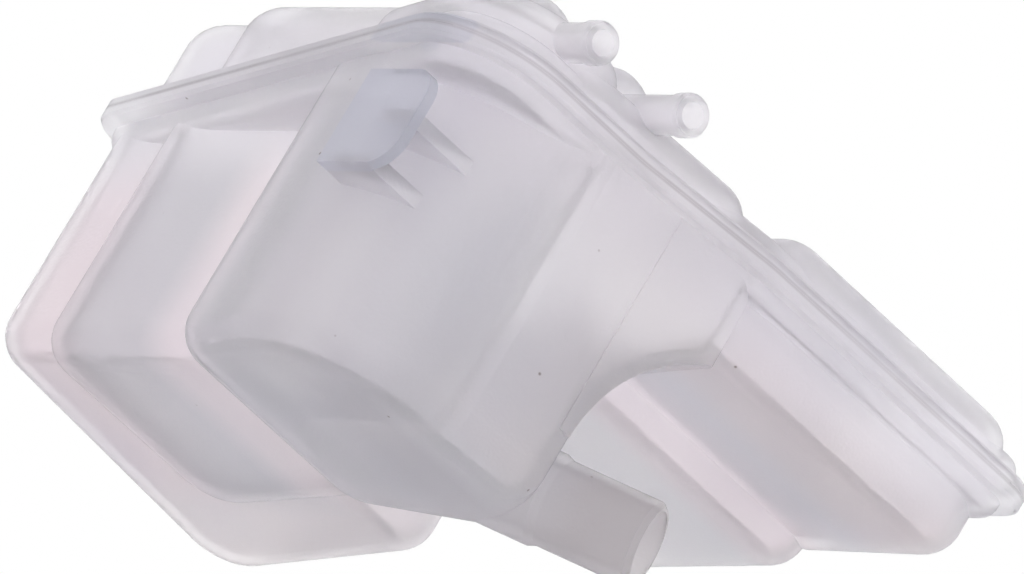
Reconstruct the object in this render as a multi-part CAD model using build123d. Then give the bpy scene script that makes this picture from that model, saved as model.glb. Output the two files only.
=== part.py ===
from build123d import *
from math import cos, radians, sin
import os

# Coolant expansion tank, moulded as a lower and an upper half shell that are
# welded together along a level flange. Millimetres, Z up: the outlet leaves at
# the bottom, the filler neck points up, and the two hose nipples point along +X.
# Plans are drawn from the tank's left tip on the weld plane. The finished
# shells are then moved so that the origin is the middle of the bracket's slot.

# Walls and weld flange
WALL = 3.0
FLANGE_REACH = 4.2
FLANGE_THICKNESS = 2.8
FLANGE_LIP = 0.8
COLLAR_DEPTH = 8.0
COLLAR_HEIGHT = 8.0
COLLAR_EDGE = 4.5

# Each plan lists x, y and the corner radius of its corners in turn
FLANGE_PLAN = [
    (2.5, -5.2, 9.5),
    (184.5, -45.0, 24.0),
    (184.5, 12.0, 30.0),
    (191.0, 50.0, 30.0),
    (193.0, 138.5, 9.0),
    (46.0, 144.0, 36.0),
    (-8.0, 98.0, 14.0),
]

# Terraces of the lower half, stepping out and down towards the outlet
BAND_1_PLAN = [(8.0, -3.5, 10.0), (90.0, -3.5, 10.0), (90.0, 76.0, 12.0), (-1.5, 88.5, 14.0)]
BAND_1_DEPTH = 63.0
BAND_2_PLAN = [(34.5, -9.0, 10.0), (120.0, -9.0, 10.0), (120.0, 47.0, 10.0), (34.5, 56.0, 14.0)]
BAND_2_DEPTH = 67.5
SUMP_PLAN = [
    (112.6, -25.5, 10.0),
    (180.5, -40.5, 38.0),
    (180.5, 9.0, 2.0),
    (183.8, 31.5, 7.5),
    (160.0, 45.0, 14.0),
    (112.6, 37.0, 12.0),
]
SUMP_DEPTH = 77.0
SIDE_POCKET_PLAN = [
    (126.0, 36.0, 10.0),
    (182.0, 36.0, 10.0),
    (184.8, 60.0, 20.0),
    (187.0, 134.0, 12.0),
    (126.0, 134.0, 10.0),
]
SIDE_POCKET_DEPTH = 20.5
REAR_POCKET_PLAN = [(60.0, 20.0, 10.0), (139.0, 20.0, 10.0), (139.0, 130.5, 11.0), (44.0, 136.0, 32.0)]
REAR_POCKET_DEPTH = 27.0
TERRACE_EDGE = 8.5

# A cavity's edge is cut flat, by this share of the round that would keep the wall
BEVEL_SHARE = 0.586

# Hollow round behind the sump, where its back wall turns into the side pocket
HOLLOW_RADIUS = 38.0
HOLLOW_WALL = 31.5
HOLLOW_PLAN = [(142.0, 22.0, 4.0), (182.4, 22.0, 4.0), (187.1, 54.0, 7.0), (142.0, 62.0, 4.0)]

# Inner wall across the sump, open along its top and past its left end
BAFFLE_LEFT = 122.0
BAFFLE_LENGTH = 68.0
BAFFLE_PLACE = 6.0
BAFFLE_THICKNESS = 2.4
BAFFLE_TOP = -6.0

# Roofs of the upper half
ROOF_SETBACK = 2.5
BAND_1_ROOF_HEIGHT = 31.5
BAND_2_ROOF_HEIGHT = 32.5
REAR_ROOF_HEIGHT = 31.5
BAND_ROOF_EDGE = 10.0
REAR_ROOF_PLAN = [
    (20.0, 20.0, 15.0),
    (130.5, 20.0, 15.0),
    (130.5, 130.5, 15.0),
    (56.0, 134.0, 30.0),
    (20.0, 100.0, 20.0),
]
NOSE_ROOF_PLAN = [(112.6, -25.5, 12.0), (180.5, -40.5, 24.0), (180.5, 8.0, 12.0), (112.6, 8.0, 12.0)]
NOSE_ROOF_HEIGHT = 18.0
MID_ROOF_PLAN = [(120.0, -16.0, 12.0), (182.5, -16.0, 12.0), (187.5, 49.0, 12.0), (120.0, 49.0, 12.0)]
MID_ROOF_HEIGHT = 12.5
SIDE_ROOF_PLAN = [(120.0, 51.0, 12.0), (189.0, 51.0, 12.0), (190.0, 134.0, 12.0), (120.0, 135.5, 12.0)]
SIDE_ROOF_HEIGHT = 14.0
ROOF_EDGE = 8.0

# Outlet spigot for the large hose
OUTLET_RADIUS = 10.0
OUTLET_BORE_RADIUS = 8.2
OUTLET_ANGLE = 41.0
OUTLET_MOUTH = (186.4, 61.2, -66.0)
OUTLET_REACH = 48.0
OUTLET_NOSE = 1.2
OUTLET_SEAT = 23.0
OUTLET_ROOT_RADIUS = 10.8
OUTLET_SWELL = 2.0

# Two nipples for the small hoses, each with a moulded hood at its root
NIPPLE_RADIUS = 4.4
NIPPLE_BORE_RADIUS = 3.0
NIPPLE_BEAD_RADIUS = 4.9
NIPPLE_BEAD_WIDTH = 5.0
NIPPLE_BEAD_CHAMFER = 0.9
NIPPLE_TIPS = [(188.4, -14.6, 12.2), (192.9, 11.4, 12.2)]
NIPPLE_REACH = 40.0
HOOD_RADIUS = 10.5
HOOD_EDGE = 7.0
HOOD_FRONT = 168.5
HOOD_LENGTH = 32.0

# Filler neck on the rear of the roof
NECK_CENTRE = (66.0, 88.0)
NECK_RADIUS = 23.0
NECK_BORE_RADIUS = 19.0
NECK_TOP = 48.0
NECK_STOP_RADIUS = 26.0
NECK_STOP_HEIGHT = 4.0
NECK_LIP = 1.2

# Bracket: an upright strap on two webs, open along X for the car's tongue
STRAP_LEFT = 151.0
STRAP_WIDTH = 25.0
STRAP_FACE = -38.5
STRAP_THICKNESS = 2.6
STRAP_TOP = -12.5
STRAP_CORNER = 7.5
WEB_THICKNESS = 3.6
UPPER_WEB_TOP = -21.5
UPPER_WEB_INSET = 9.0
UPPER_WEB_WIDTH = 12.0
LOWER_WEB_TOP = -33.5
LOWER_WEB_WIDTH = 17.0
WEB_ROOT = -12.0
SLOT_DEPTH = 8.0


def outline(plan, inset=0.0):
    """Closed plan with rounded corners, drawn inside the given one by an inset."""
    points = [(x, y) for x, y, radius in plan]
    radii = [radius for x, y, radius in plan]
    face = make_face(FilletPolyline(*points, radius=radii, close=True))
    return offset(face, -inset) if inset else face


def chamber(plan, height, edge, inset=0.0, setback=0.0):
    """Chamber on the weld plane, up or down to a height, with its far edge rounded."""
    reach = abs(height) - inset
    up = height > 0
    solid = extrude(outline(plan, inset + setback), reach if up else -reach)
    end = solid.faces().sort_by(Axis.Z)[-1 if up else 0]
    if inset:
        return chamfer(end.edges(), BEVEL_SHARE * (edge - inset))
    return fillet(end.edges(), edge)


def hollow_round(inset=0.0):
    """Concave round from the sump's back wall to the side pocket's floor."""
    centre = Pos(HOLLOW_WALL + HOLLOW_RADIUS, -SIDE_POCKET_DEPTH - HOLLOW_RADIUS)
    width = HOLLOW_RADIUS + inset + WALL
    height = HOLLOW_RADIUS + SIDE_POCKET_DEPTH
    section = centre * Rectangle(width, height, align=(Align.MAX, Align.MIN))
    section -= centre * Circle(HOLLOW_RADIUS + inset)
    across = Plane(origin=(0, 0, 0), x_dir=(0, 1, 0), z_dir=(1, 0, 0))
    bar = extrude(across * section, HOLLOW_PLAN[2][0])
    return bar & extrude(outline(HOLLOW_PLAN, inset), -SUMP_DEPTH)


def lower_form(inset=0.0):
    """Outer form of the lower half, or its cavity when given the wall as inset."""
    form = chamber(FLANGE_PLAN, -COLLAR_DEPTH, COLLAR_EDGE, inset, FLANGE_REACH)
    for plan, depth in (
        (BAND_1_PLAN, BAND_1_DEPTH),
        (BAND_2_PLAN, BAND_2_DEPTH),
        (SUMP_PLAN, SUMP_DEPTH),
        (SIDE_POCKET_PLAN, SIDE_POCKET_DEPTH),
        (REAR_POCKET_PLAN, REAR_POCKET_DEPTH),
    ):
        form += chamber(plan, -depth, TERRACE_EDGE, inset)
    form += hollow_round(inset)
    return form


def baffle():
    """Upright inner wall that shades the front of the sump, rooted in its side and floor."""
    middle = (Align.MIN, Align.CENTER)
    sheet = Pos(BAFFLE_LEFT, BAFFLE_PLACE) * Rectangle(BAFFLE_LENGTH, BAFFLE_THICKNESS, align=middle)
    wall = Pos(0, 0, BAFFLE_TOP) * extrude(sheet, -SUMP_DEPTH)
    return wall & chamber(SUMP_PLAN, -SUMP_DEPTH, TERRACE_EDGE, WALL / 2)


def upper_form(inset=0.0):
    """Outer form of the upper half, or its cavity when given the wall as inset."""
    form = chamber(FLANGE_PLAN, COLLAR_HEIGHT, COLLAR_EDGE, inset, FLANGE_REACH)
    for plan, height, edge in (
        (BAND_1_PLAN, BAND_1_ROOF_HEIGHT, BAND_ROOF_EDGE),
        (BAND_2_PLAN, BAND_2_ROOF_HEIGHT, BAND_ROOF_EDGE),
        (REAR_ROOF_PLAN, REAR_ROOF_HEIGHT, BAND_ROOF_EDGE),
        (NOSE_ROOF_PLAN, NOSE_ROOF_HEIGHT, ROOF_EDGE),
        (MID_ROOF_PLAN, MID_ROOF_HEIGHT, ROOF_EDGE),
        (SIDE_ROOF_PLAN, SIDE_ROOF_HEIGHT, ROOF_EDGE),
    ):
        form += chamber(plan, height, edge, inset, ROOF_SETBACK)
    return form


def flange(thickness):
    """Half of the weld flange, above or below the weld plane, with a bevelled lip."""
    plate = extrude(outline(FLANGE_PLAN), thickness)
    outer = plate.faces().sort_by(Axis.Z)[-1 if thickness > 0 else 0]
    return chamfer(outer.edges(), FLANGE_LIP)


def pipe(radius, length):
    """Round bar that ends at its tip and runs back along the axis."""
    return Cylinder(radius, length, align=(Align.CENTER, Align.CENTER, Align.MAX))


def outlet():
    """Outlet spigot with a bevelled nose, swelling into its root where the hose stops."""
    body = pipe(OUTLET_RADIUS, OUTLET_REACH)
    nose = body.faces().sort_by(Axis.Z)[-1]
    body = chamfer(nose.edges(), OUTLET_NOSE)
    upright = (Align.CENTER, Align.CENTER, Align.MIN)
    swell = Cone(OUTLET_ROOT_RADIUS, OUTLET_RADIUS, OUTLET_SWELL, align=upright)
    root = swell + pipe(OUTLET_ROOT_RADIUS, OUTLET_REACH - OUTLET_SEAT - OUTLET_SWELL)
    return body + Pos(0, 0, -OUTLET_SEAT - OUTLET_SWELL) * root


def nipple():
    """Small hose nipple with a chamfered bead at its tip."""
    bead = pipe(NIPPLE_BEAD_RADIUS, NIPPLE_BEAD_WIDTH)
    bead = chamfer(bead.edges().filter_by(GeomType.CIRCLE), NIPPLE_BEAD_CHAMFER)
    return bead + pipe(NIPPLE_RADIUS, NIPPLE_REACH)


def hood():
    """Rounded hood in which a nipple is rooted."""
    body = pipe(HOOD_RADIUS, HOOD_LENGTH)
    front = body.faces().sort_by(Axis.Z)[-1]
    return fillet(front.edges(), HOOD_EDGE)


def neck():
    """Filler neck with the stop ring that the cap comes down to."""
    body = extrude(Pos(*NECK_CENTRE) * Circle(NECK_RADIUS), NECK_TOP)
    top = body.faces().sort_by(Axis.Z)[-1]
    body = chamfer(top.edges(), NECK_LIP)
    stop = Pos(*NECK_CENTRE) * Circle(NECK_STOP_RADIUS)
    return body + extrude(stop, REAR_ROOF_HEIGHT + NECK_STOP_HEIGHT)


def web(inset, width, top):
    """Level web from the strap back into the sump's nose, set in from the strap's left end."""
    depth = WEB_ROOT - STRAP_FACE
    sheet = Pos(STRAP_LEFT + inset, STRAP_FACE) * Rectangle(width, depth, align=(Align.MIN, Align.MIN))
    return Pos(0, 0, top) * extrude(sheet, -WEB_THICKNESS)


def bracket():
    """Strap standing off the sump's nose on an upper and a lower web."""
    height = STRAP_TOP - LOWER_WEB_TOP + WEB_THICKNESS
    strap = Pos(STRAP_LEFT, STRAP_TOP) * Rectangle(STRAP_WIDTH, height, align=(Align.MIN, Align.MAX))
    strap = fillet(strap.vertices().group_by(Axis.X)[-1], STRAP_CORNER)
    upright = Plane(origin=(0, STRAP_FACE + STRAP_THICKNESS, 0), x_dir=(1, 0, 0), z_dir=(0, -1, 0))
    body = extrude(upright * strap, STRAP_THICKNESS)
    body += web(UPPER_WEB_INSET, UPPER_WEB_WIDTH, UPPER_WEB_TOP)
    return body + web(0.0, LOWER_WEB_WIDTH, LOWER_WEB_TOP)


outlet_way = (cos(radians(OUTLET_ANGLE)), sin(radians(OUTLET_ANGLE)), 0)
outlet_place = Plane(origin=OUTLET_MOUTH, z_dir=outlet_way)

lower_shell = lower_form() + flange(-FLANGE_THICKNESS)
lower_shell += outlet_place * outlet()
lower_shell += bracket()
lower_shell -= lower_form(WALL)
lower_shell += baffle()
lower_shell -= outlet_place * pipe(OUTLET_BORE_RADIUS, OUTLET_REACH)

upper_shell = upper_form() + flange(FLANGE_THICKNESS) + neck()
for x, y, z in NIPPLE_TIPS:
    upper_shell += Plane(origin=(HOOD_FRONT, y, z), z_dir=(1, 0, 0)) * hood()
    upper_shell += Plane(origin=(x, y, z), z_dir=(1, 0, 0)) * nipple()
upper_shell -= upper_form(WALL)
upper_shell -= extrude(Pos(*NECK_CENTRE) * Circle(NECK_BORE_RADIUS), NECK_TOP)
for x, y, z in NIPPLE_TIPS:
    upper_shell -= Plane(origin=(x, y, z), z_dir=(1, 0, 0)) * pipe(NIPPLE_BORE_RADIUS, NIPPLE_REACH)

slot_centre = Vector(
    STRAP_LEFT + STRAP_WIDTH / 2,
    STRAP_FACE + STRAP_THICKNESS + SLOT_DEPTH / 2,
    (UPPER_WEB_TOP - WEB_THICKNESS + LOWER_WEB_TOP) / 2,
)

os.makedirs("parts", exist_ok=True)
for name, shell in (("lower_shell", lower_shell), ("upper_shell", upper_shell)):
    shell = Pos(*-slot_centre) * shell
    shell.label = name
    export_step(shell, f"parts/{name}.step")
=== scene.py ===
import math

import bmesh
import bpy
from mathutils import Matrix, Vector


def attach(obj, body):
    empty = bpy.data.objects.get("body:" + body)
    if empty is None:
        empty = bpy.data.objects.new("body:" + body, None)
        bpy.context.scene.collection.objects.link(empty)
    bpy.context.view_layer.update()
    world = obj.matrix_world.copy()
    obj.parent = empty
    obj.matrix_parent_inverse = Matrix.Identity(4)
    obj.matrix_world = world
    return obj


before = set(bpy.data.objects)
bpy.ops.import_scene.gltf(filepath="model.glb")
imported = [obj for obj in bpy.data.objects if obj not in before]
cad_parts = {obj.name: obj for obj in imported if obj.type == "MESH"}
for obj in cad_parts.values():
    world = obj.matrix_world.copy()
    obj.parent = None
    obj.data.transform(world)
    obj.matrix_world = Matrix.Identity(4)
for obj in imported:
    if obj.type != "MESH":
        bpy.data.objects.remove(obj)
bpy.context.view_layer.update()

MM = 0.001

# Places on the tank, in millimetres from the middle of the bracket's slot
WELD_LEVEL = 29.3
NECK_AXIS = Vector((-97.5, 119.9, 0.0))
NECK_RADIUS = 23.0
NECK_STOP_LEVEL = 64.8


def new_piece(name, bm, material):
    """A finished piece of the tank from its bmesh, in metres, riding on the tank."""
    bmesh.ops.scale(bm, vec=(MM, MM, MM), verts=bm.verts)
    mesh = bpy.data.meshes.new(name)
    bm.to_mesh(mesh)
    bm.free()
    piece = bpy.data.objects.new(name, mesh)
    bpy.context.scene.collection.objects.link(piece)
    mesh.materials.append(material)
    mesh.shade_smooth()
    mesh.set_sharp_from_angle(angle=math.radians(35))
    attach(piece, "root")
    return piece


# Materials

def node(tree, kind, **values):
    """A node of a material's tree, with its inputs set by name."""
    made = tree.nodes.new(kind)
    for name, value in values.items():
        made.inputs[name.replace("_", " ")].default_value = value
    return made


def moulded_surface():
    """Node group: cloudy tone, flow streaks, specks and the fine grain of a moulded wall."""
    group = bpy.data.node_groups.new("moulded_surface", "ShaderNodeTree")
    face = group.interface
    face.new_socket("Cloud Scale", in_out="INPUT", socket_type="NodeSocketFloat")
    face.new_socket("Grain Scale", in_out="INPUT", socket_type="NodeSocketFloat")
    face.new_socket("Tone", in_out="OUTPUT", socket_type="NodeSocketFloat")
    face.new_socket("Specks", in_out="OUTPUT", socket_type="NodeSocketFloat")
    face.new_socket("Height", in_out="OUTPUT", socket_type="NodeSocketFloat")
    given = group.nodes.new("NodeGroupInput")
    result = group.nodes.new("NodeGroupOutput")
    place = group.nodes.new("ShaderNodeTexCoord")
    cloud = node(group, "ShaderNodeTexNoise", Detail=1.0, Roughness=0.55)
    stretch = node(group, "ShaderNodeMapping", Scale=(1.0, 1.0, 0.22))
    streak = node(group, "ShaderNodeTexNoise", Scale=55.0, Detail=0.0, Roughness=0.5)
    mix = node(group, "ShaderNodeMix", Factor=0.3)
    grain = node(group, "ShaderNodeTexNoise", Detail=0.0, Roughness=0.6)
    speck = node(group, "ShaderNodeTexVoronoi", Scale=70.0)
    dot = node(group, "ShaderNodeMapRange", From_Min=0.012, From_Max=0.034, To_Min=1.0, To_Max=0.0)
    link = group.links.new
    link(place.outputs["Object"], cloud.inputs["Vector"])
    link(place.outputs["Object"], stretch.inputs["Vector"])
    link(place.outputs["Object"], grain.inputs["Vector"])
    link(place.outputs["Object"], speck.inputs["Vector"])
    link(stretch.outputs["Vector"], streak.inputs["Vector"])
    link(given.outputs["Cloud Scale"], cloud.inputs["Scale"])
    link(given.outputs["Grain Scale"], grain.inputs["Scale"])
    link(cloud.outputs["Fac"], mix.inputs["A"])
    link(streak.outputs["Fac"], mix.inputs["B"])
    link(speck.outputs["Distance"], dot.inputs["Value"])
    link(mix.outputs["Result"], result.inputs["Tone"])
    link(dot.outputs["Result"], result.inputs["Specks"])
    link(grain.outputs["Fac"], result.inputs["Height"])
    return group


def smooth_step(tree, value, start, end):
    """A mask that rises smoothly from 0 to 1 between two places, in millimetres along one axis."""
    step = tree.nodes.new("ShaderNodeMapRange")
    step.interpolation_type = "SMOOTHSTEP"
    step.inputs["From Min"].default_value = min(start, end) * MM
    step.inputs["From Max"].default_value = max(start, end) * MM
    step.inputs["To Min"].default_value = 0.0 if start < end else 1.0
    step.inputs["To Max"].default_value = 1.0 if start < end else 0.0
    tree.links.new(value, step.inputs["Value"])
    return step.outputs["Result"]


def both(tree, first, second):
    """A mask that holds where two masks hold."""
    product = tree.nodes.new("ShaderNodeMath")
    product.operation = "MULTIPLY"
    tree.links.new(first, product.inputs[0])
    tree.links.new(second, product.inputs[1])
    return product.outputs["Value"]


def blend(tree, mask, first, second, kind="MIX"):
    """A colour that goes from the first to the second where the mask holds."""
    mix = tree.nodes.new("ShaderNodeMix")
    mix.data_type = "RGBA"
    mix.blend_type = kind
    sockets = (mix.inputs["Factor"], mix.inputs[6], mix.inputs[7])
    for socket, value in zip(sockets, (mask, first, second)):
        if isinstance(value, bpy.types.NodeSocket):
            tree.links.new(value, socket)
        else:
            socket.default_value = value
    return mix.outputs[2]


def tone_along(tree, along, tones):
    """Colour along one axis from listed places and colours: a rosy painted glow at the foot of each
    step, a cool painted shade beyond it.
    """
    first, last = tones[0][0], tones[-1][0]
    span = node(tree, "ShaderNodeMapRange", From_Min=first * MM, From_Max=last * MM)
    tree.links.new(along, span.inputs["Value"])
    ramp = tree.nodes.new("ShaderNodeValToRGB")
    stops = ramp.color_ramp.elements
    for index, (place, colour) in enumerate(tones):
        if index < 2:
            stop = stops[index]
            stop.position = (place - first) / (last - first)
        else:
            stop = stops.new((place - first) / (last - first))
        stop.color = (*colour, 1.0)
    tree.links.new(span.outputs["Result"], ramp.inputs["Fac"])
    return ramp.outputs["Color"]


def milky_plastic(name, cloud_scale, grain_scale, roughness):
    """Natural translucent plastic, with light and shade painted into its colour: a pale rosy glow
    at the foot of each step and cooler shade on the deep terraces, the sump, the spigot and the
    bracket.
    """
    material = bpy.data.materials.new(name)
    material.use_nodes = True
    tree = material.node_tree
    link = tree.links.new
    skin = tree.nodes["Principled BSDF"]
    skin.inputs["Roughness"].default_value = roughness
    skin.inputs["IOR"].default_value = 1.12
    skin.inputs["Transmission Weight"].default_value = 0.83
    skin.inputs["Coat Weight"].default_value = 0.5
    skin.inputs["Coat Roughness"].default_value = 0.3
    surface = tree.nodes.new("ShaderNodeGroup")
    surface.node_tree = MOULDED
    surface.inputs["Cloud Scale"].default_value = cloud_scale
    surface.inputs["Grain Scale"].default_value = grain_scale
    place = tree.nodes.new("ShaderNodeTexCoord")
    axes = tree.nodes.new("ShaderNodeSeparateXYZ")
    link(place.outputs["Object"], axes.inputs["Vector"])
    x, y, z = axes.outputs

    # Painted light and shade along the terraces and the rear pockets, with a painted glow on the
    # pocket floors. It fades to the plain wall towards the weld.
    terraces = smooth_step(tree, y, *TERRACE_BACK)
    deep = smooth_step(tree, z, *POCKET_BOTTOM)
    rear = blend(tree, deep, tone_along(tree, x, REAR_TONES), (*POCKET_FLOOR_GLOW_TONE, 1.0))
    colour = blend(tree, terraces, rear, tone_along(tree, x, TERRACE_TONES))
    colour = blend(tree, smooth_step(tree, z, *COLLAR_FADE), (*WALL_TONE, 1.0), colour)
    # Painted shade: a darker spigot and a cool, darker bracket.
    spigot = both(tree, smooth_step(tree, z, *SPIGOT_TOP), smooth_step(tree, y, *SPIGOT_FRONT))
    spigot = both(tree, spigot, smooth_step(tree, x, *SPIGOT_LEFT))
    colour = blend(tree, spigot, colour, (*SPIGOT_SHADE_TONE, 1.0))
    colour = blend(tree, smooth_step(tree, y, *BRACKET_BACK), colour, (*BRACKET_SHADE_TONE, 1.0))
    seam = both(tree, smooth_step(tree, z, *SEAM_LOW), smooth_step(tree, z, *SEAM_HIGH))
    colour = blend(tree, both(tree, seam, surface.outputs["Tone"]), colour, (*SEAM_TONE, 1.0))
    tone = tree.nodes.new("ShaderNodeValToRGB")
    tone.color_ramp.elements[0].position = 0.3
    tone.color_ramp.elements[0].color = CLOUD_SHADE
    tone.color_ramp.elements[1].position = 0.7
    link(surface.outputs["Tone"], tone.inputs["Fac"])
    colour = blend(tree, 1.0, colour, tone.outputs["Color"], "MULTIPLY")
    colour = blend(tree, surface.outputs["Specks"], colour, SPECK_COLOUR)
    link(colour, skin.inputs["Base Color"])
    bump = node(tree, "ShaderNodeBump", Strength=0.12, Distance=0.0003)
    link(surface.outputs["Height"], bump.inputs["Height"])
    link(bump.outputs["Normal"], skin.inputs["Normal"])

    joint = tree.nodes.new("ShaderNodeMath")
    joint.operation = "COMPARE"
    joint.inputs[1].default_value = WELD_LEVEL * MM
    joint.inputs[2].default_value = 0.02 * MM
    clear = tree.nodes.new("ShaderNodeBsdfTransparent")
    welded = tree.nodes.new("ShaderNodeMixShader")
    link(z, joint.inputs[0])
    link(joint.outputs["Value"], welded.inputs["Fac"])
    link(skin.outputs["BSDF"], welded.inputs[1])
    link(clear.outputs["BSDF"], welded.inputs[2])
    link(welded.outputs["Shader"], tree.nodes["Material Output"].inputs["Surface"])
    return material


# Where each zone of colour sets in and is whole, in millimetres along one axis
TERRACE_BACK = (94.0, 78.0)
COLLAR_FADE = (26.0, 4.0)
POCKET_BOTTOM = (2.0, -12.0)
SPIGOT_TOP = (-16.0, -30.0)
SPIGOT_FRONT = (64.0, 82.0)
SPIGOT_LEFT = (-75.0, -65.0)
BRACKET_BACK = (-2.5, -3.5)
SEAM_LOW = (28.5, 29.0)
SEAM_HIGH = (30.1, 29.6)

CLOUD_SHADE = (0.95, 0.955, 0.97, 1.0)
SPECK_COLOUR = (0.3, 0.24, 0.22, 1.0)
WALL_TONE = (1.0, 0.982, 1.0)
SEAM_TONE = (0.45, 0.42, 0.43)
# The tones below are painted light and shade that stand in for light through the milky wall. They
# are pale and rosy as painted glow at the foot of each step, in the rear pockets and on their
# floors. They are cooler and darker as painted shade on the left tip's rim, the deep terrace, the
# sump and its nose, the pocket corner, the spigot and the bracket. They are lighter as painted
# light on the sump's side.
SPIGOT_SHADE_TONE = (0.80, 0.772, 0.775)
BRACKET_SHADE_TONE = (0.83, 0.835, 0.89)
RIM_SHADE_TONE = (0.935, 0.895, 0.92)
ROSY_GLOW_TONE = (1.0, 0.935, 0.95)
POCKET_FLOOR_GLOW_TONE = (1.0, 0.965, 0.972)
COOL_SHADE_TONE = (0.81, 0.799, 0.822)
SUMP_SHADE_TONE = (0.895, 0.884, 0.903)
NOSE_SHADE_TONE = (0.825, 0.81, 0.83)
SUMP_SIDE_LIT_TONE = (0.945, 0.936, 0.948)
SIDE_TONE = (0.925, 0.9, 0.9)
POCKET_TONE = (1.0, 0.988, 0.998)
POCKET_CORNER_SHADE_TONE = (0.91, 0.895, 0.92)
POCKET_MIDDLE_TONE = (0.95, 0.89, 0.89)

# Places along the terraces, from the tank's left tip to its right side, and the painted light and
# shade of the wall there
TERRACE_TONES = [
    (-165.0, RIM_SHADE_TONE),
    (-150.0, RIM_SHADE_TONE),
    (-144.0, ROSY_GLOW_TONE),
    (-130.0, ROSY_GLOW_TONE),
    (-117.0, COOL_SHADE_TONE),
    (-90.0, COOL_SHADE_TONE),
    (-79.0, ROSY_GLOW_TONE),
    (-67.0, ROSY_GLOW_TONE),
    (-56.0, SUMP_SHADE_TONE),
    (-22.0, SUMP_SHADE_TONE),
    (-10.0, NOSE_SHADE_TONE),
    (2.0, NOSE_SHADE_TONE),
    (10.0, SUMP_SIDE_LIT_TONE),
    (15.0, SUMP_SIDE_LIT_TONE),
    (18.0, SIDE_TONE),
    (30.0, SIDE_TONE),
]
# The same along the pockets at the rear
REAR_TONES = [
    (-165.0, WALL_TONE),
    (-108.0, WALL_TONE),
    (-100.0, POCKET_TONE),
    (-40.0, POCKET_TONE),
    (-33.0, ROSY_GLOW_TONE),
    (-24.0, ROSY_GLOW_TONE),
    (-18.0, POCKET_CORNER_SHADE_TONE),
    (-8.0, POCKET_CORNER_SHADE_TONE),
    (2.0, POCKET_MIDDLE_TONE),
    (30.0, POCKET_MIDDLE_TONE),
]

MOULDED = moulded_surface()
tank_plastic = milky_plastic("tank_plastic", 22.0, 1400.0, 0.75)

for name in ("lower_shell", "upper_shell"):
    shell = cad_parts[name]
    shell.data.materials.clear()
    shell.data.materials.append(tank_plastic)


# Screw thread of the filler neck

THREAD_PITCH = 6.0
THREAD_TURNS = 1.3
THREAD_HEIGHT = 1.7
THREAD_FOOT = 3.2
THREAD_CREST = 1.5
THREAD_STEPS = 78
THREAD_RUNOUT = 6
THREAD_END = 0.3


def neck_thread():
    """One coarse thread that climbs the neck and runs out at both ends."""
    bm = bmesh.new()
    start = NECK_STOP_LEVEL + THREAD_FOOT / 2 + 0.2
    root, crest = NECK_RADIUS - 0.4, NECK_RADIUS + THREAD_HEIGHT
    section = [
        bm.verts.new(NECK_AXIS + Vector((radius, 0.0, start + side * width / 2)))
        for radius, side, width in (
            (root, -1, THREAD_FOOT),
            (crest, -1, THREAD_CREST),
            (crest, 1, THREAD_CREST),
            (root, 1, THREAD_FOOT),
        )
    ]
    first = bm.faces.new(section)
    bmesh.ops.spin(
        bm,
        geom=[first, *first.edges, *first.verts],
        cent=NECK_AXIS,
        axis=(0.0, 0.0, 1.0),
        dvec=(0.0, 0.0, THREAD_PITCH * THREAD_TURNS / THREAD_STEPS),
        angle=math.tau * THREAD_TURNS,
        steps=THREAD_STEPS,
        use_merge=False,
    )
    bm.verts.ensure_lookup_table()
    rings = [bm.verts[i:i + 4] for i in range(0, len(bm.verts), 4)]
    for count in range(THREAD_RUNOUT):
        left = 1.0 - (count + THREAD_END) / THREAD_RUNOUT
        for ring in (rings[count], rings[-1 - count]):
            for vert in ring:
                out = Vector((vert.co.x - NECK_AXIS.x, vert.co.y - NECK_AXIS.y, 0.0))
                extra = out.length - root
                vert.co -= out.normalized() * extra * left
    bmesh.ops.recalc_face_normals(bm, faces=bm.faces)
    return new_piece("neck_thread", bm, tank_plastic)


neck_thread()

# Camera: from below the weld plane, at the nose's side, rolled as the tank lies

FRAME_WIDTH = 0.2246
CAMERA_DISTANCE = 4.0
SENSOR = 36.0
AIM = Vector((-65.9, 84.85, 24.65)) * MM
TOWARD = Vector((0.799, -0.493, -0.346)).normalized()
UP = TOWARD.cross(Vector((0.6015, 0.640, 0.478))).normalized()
RIGHT = UP.cross(TOWARD)

camera_data = bpy.data.cameras.new("camera")
camera_data.sensor_width = SENSOR
camera_data.lens = SENSOR * CAMERA_DISTANCE / FRAME_WIDTH
camera_data.clip_end = 100.0
camera = bpy.data.objects.new("camera", camera_data)
bpy.context.scene.collection.objects.link(camera)
turned = Matrix((RIGHT, UP, TOWARD)).transposed().to_4x4()
camera.matrix_world = Matrix.Translation(AIM + TOWARD * CAMERA_DISTANCE) @ turned
bpy.context.scene.camera = camera

# Floor and world

FLOOR_LEVEL = -0.30
FLOOR_SIZE = 6.0
FLOOR_COLOUR = (0.74, 0.74, 0.75, 1.0)
GLOW_DIM = (0.93, 0.93, 0.94, 1.0)
GLOW_WAY = (0.1, 0.8, 0.59)


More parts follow.
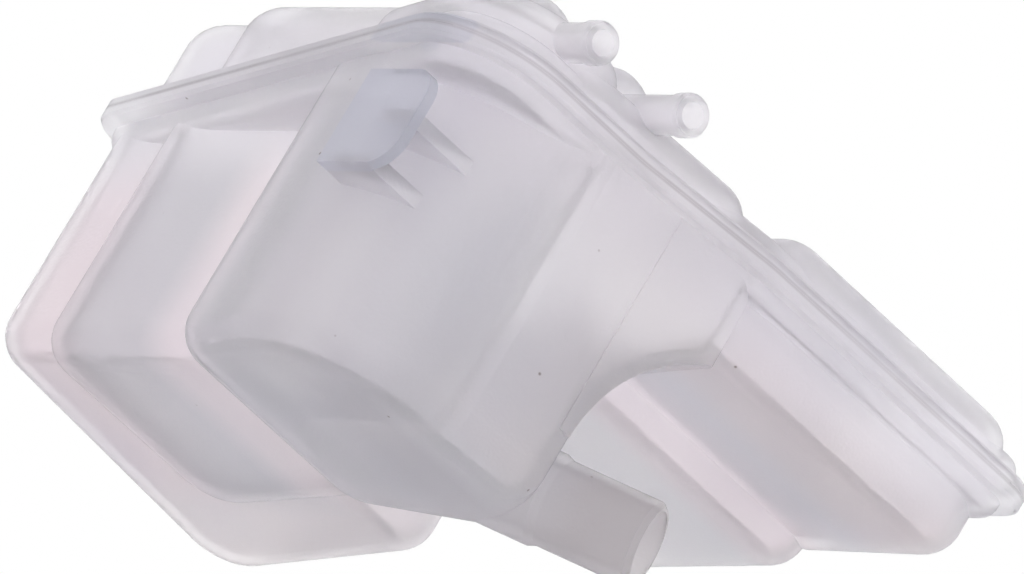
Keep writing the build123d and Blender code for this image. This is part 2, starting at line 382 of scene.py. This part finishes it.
def pale_floor():
    """Pale floor that shows from above and lets the light and the eye through from below."""
    bm = bmesh.new()
    bmesh.ops.create_grid(bm, x_segments=1, y_segments=1, size=FLOOR_SIZE)
    mesh = bpy.data.meshes.new("floor")
    bm.to_mesh(mesh)
    bm.free()
    floor = bpy.data.objects.new("floor", mesh)
    floor.location = (0.0, 0.0, FLOOR_LEVEL)
    bpy.context.scene.collection.objects.link(floor)
    material = bpy.data.materials.new("floor_white")
    material.use_nodes = True
    tree = material.node_tree
    paint = tree.nodes["Principled BSDF"]
    paint.inputs["Base Color"].default_value = FLOOR_COLOUR
    paint.inputs["Roughness"].default_value = 0.9
    side = tree.nodes.new("ShaderNodeNewGeometry")
    clear = tree.nodes.new("ShaderNodeBsdfTransparent")
    mix = tree.nodes.new("ShaderNodeMixShader")
    tree.links.new(side.outputs["Backfacing"], mix.inputs["Fac"])
    tree.links.new(paint.outputs["BSDF"], mix.inputs[1])
    tree.links.new(clear.outputs["BSDF"], mix.inputs[2])
    tree.links.new(mix.outputs["Shader"], tree.nodes["Material Output"].inputs["Surface"])
    mesh.materials.append(material)


pale_floor()

world = bpy.data.worlds.new("studio")
bpy.context.scene.world = world
world.use_nodes = True
world.cycles.sampling_method = "NONE"
sky = world.node_tree
backdrop = sky.nodes["Background"]
backdrop.inputs["Color"].default_value = (1.0, 1.0, 1.0, 1.0)
backdrop.inputs["Strength"].default_value = 1.0
glow = sky.nodes.new("ShaderNodeBackground")
glow.inputs["Strength"].default_value = 1.0
way = sky.nodes.new("ShaderNodeTexCoord")
turn = sky.nodes.new("ShaderNodeVectorMath")
turn.operation = "DOT_PRODUCT"
turn.inputs[1].default_value = GLOW_WAY
rise = node(sky, "ShaderNodeMapRange", From_Min=-1.0, From_Max=1.0, To_Min=0.0, To_Max=1.0)
shade = sky.nodes.new("ShaderNodeValToRGB")
shade.color_ramp.elements[0].color = GLOW_DIM
shade.color_ramp.elements[1].color = (1.0, 1.0, 1.0, 1.0)
rays = sky.nodes.new("ShaderNodeLightPath")
either = sky.nodes.new("ShaderNodeMath")
either.operation = "MAXIMUM"
seen = sky.nodes.new("ShaderNodeMath")
seen.operation = "MAXIMUM"
choose = sky.nodes.new("ShaderNodeMixShader")
join = sky.links.new
join(way.outputs["Generated"], turn.inputs[0])
join(turn.outputs["Value"], rise.inputs["Value"])
join(rise.outputs["Result"], shade.inputs["Fac"])
join(shade.outputs["Color"], glow.inputs["Color"])
join(rays.outputs["Is Camera Ray"], either.inputs[0])
join(rays.outputs["Is Glossy Ray"], either.inputs[1])
join(either.outputs["Value"], seen.inputs[0])
join(rays.outputs["Is Transmission Ray"], seen.inputs[1])
join(seen.outputs["Value"], choose.inputs["Fac"])
join(glow.outputs["Background"], choose.inputs[1])
join(backdrop.outputs["Background"], choose.inputs[2])
join(choose.outputs["Shader"], sky.nodes["World Output"].inputs["Surface"])

bpy.context.scene.view_settings.view_transform = "Standard"
